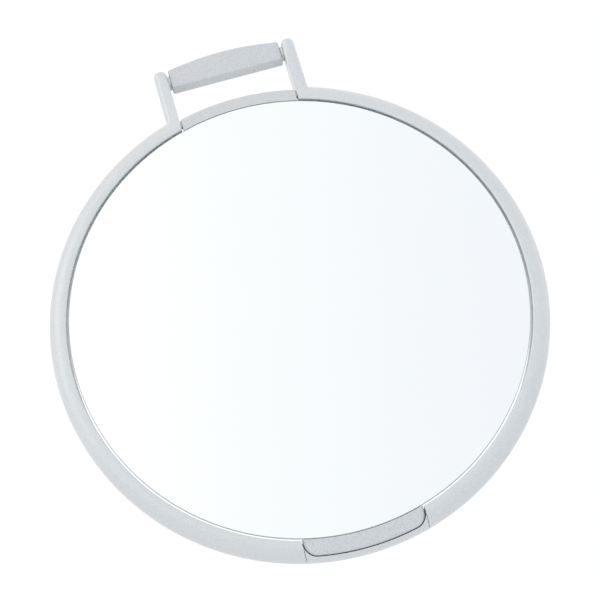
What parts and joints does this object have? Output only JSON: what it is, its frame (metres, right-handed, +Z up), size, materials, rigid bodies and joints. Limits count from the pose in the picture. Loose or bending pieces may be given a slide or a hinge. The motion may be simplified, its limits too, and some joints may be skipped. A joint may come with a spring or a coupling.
{
  "type": "hand mirror",
  "caption": "Round salon hand mirror with a silver ring, a grip bar between two posts at the top, and a mirror disc that swings forward on a hinge so that it can stand.",
  "frame": {"origin": "centre of the mirror's front face", "axes": "+Z up through the grip, +Y to the back, so the mirror faces -Y; X across, parallel to the hinge"},
  "size_m": [0.3, 0.0186, 0.3315],
  "materials": {
    "silver_paint": "satin silver paint on moulded plastic",
    "grey_plastic": "fine moulded texture, light grey",
    "grey_soft": "soft-touch grey elastomer, fine grain",
    "mirror": "silvered float glass, ground edge",
    "steel": "bright zinc plated",
    "spring_steel": "plain spring steel",
    "nylon": "natural grey nylon",
    "foam": "white closed-cell foam tape",
    "foot_rubber": "matt grey rubber",
    "magnet": "nickel plated"
  },
  "bodies": {
    "frame": {"frame_front": "silver_paint", "frame_rear": "silver_paint", "grip_rod": "steel", "grip_core": "grey_plastic", "grip_sleeve": "grey_soft", "grip_washer_right": "nylon", "grip_washer_left": "nylon", "hinge_pin_right": "steel", "hinge_washer_right": "spring_steel", "hinge_pin_left": "steel", "hinge_washer_left": "spring_steel", "foot_pads": "foot_rubber", "catch_magnet": "magnet", "frame_screws": "steel"},
    "mirror": {"mirror_glass": "mirror", "glass_tape": "foam", "mirror_carrier": "grey_plastic", "carrier_cover": "grey_plastic", "cover_screws": "steel", "hinge_bush_right": "nylon", "hinge_bush_left": "nylon", "pull_tab": "grey_soft", "catch_plate": "steel"}
  },
  "joints": [
    {"name": "stand_hinge", "type": "hinge", "parent": "frame", "child": "mirror", "pos_m": [0, 0.003, 0.1383], "axis": [-1, 0, 0], "range_deg": [0, 30]}
  ]
}
